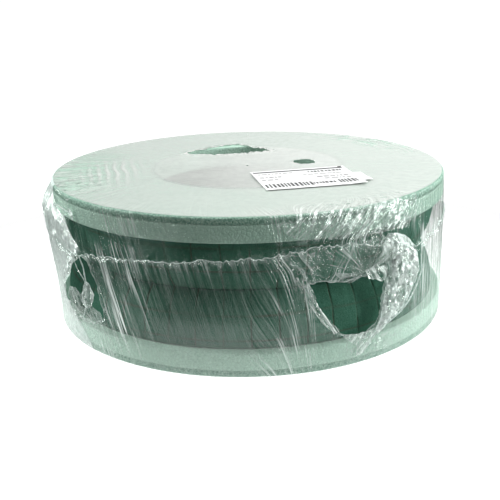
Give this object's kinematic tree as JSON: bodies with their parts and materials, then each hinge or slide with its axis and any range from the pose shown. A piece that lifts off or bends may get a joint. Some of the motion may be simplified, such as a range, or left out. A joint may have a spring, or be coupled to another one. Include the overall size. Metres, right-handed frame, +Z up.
{
  "type": "shrink-wrapped floral foam ring pack",
  "caption": "Wreath rings for flower arranging, each floral foam glued to a polystyrene base, laid foam to foam and sealed in clear shrink film with a paper label on top.",
  "frame": {"origin": "centre of the face that the pack stands on, under the bottom film panel", "axes": "+Z up along the rings' common axis, -Y towards the side that the label reads from"},
  "size_m": [0.302, 0.302, 0.1093],
  "materials": {
    "polystyrene": "pale mint expanded polystyrene, fine bead texture, matte",
    "floral_foam": "dark green open-cell floral foam, powdery and dull, with a scored grid",
    "glue": "hardened hot-melt glue",
    "shrink_film": "clear polyolefin shrink film, glossy, wrinkled and stretched into fine streaks",
    "label_paper": null
  },
  "bodies": {
    "root": {"lower_polystyrene_base": "polystyrene", "upper_polystyrene_base": "polystyrene", "lower_foam_ring": "floral_foam", "upper_foam_ring": "floral_foam", "lower_glue_line": "glue", "upper_glue_line": "glue", "film_bottom_panel": "shrink_film", "film_lower_skirt": "shrink_film", "film_weld_bead": "shrink_film", "film_upper_skirt": "shrink_film", "film_top_panel": "shrink_film", "film_ear_front_right": "shrink_film", "film_ear_back_right": "shrink_film", "film_ear_back_left": "shrink_film", "film_ear_front_left": "shrink_film", "main_label": "label_paper", "price_sticker": "label_paper"}
  },
  "joints": []
}
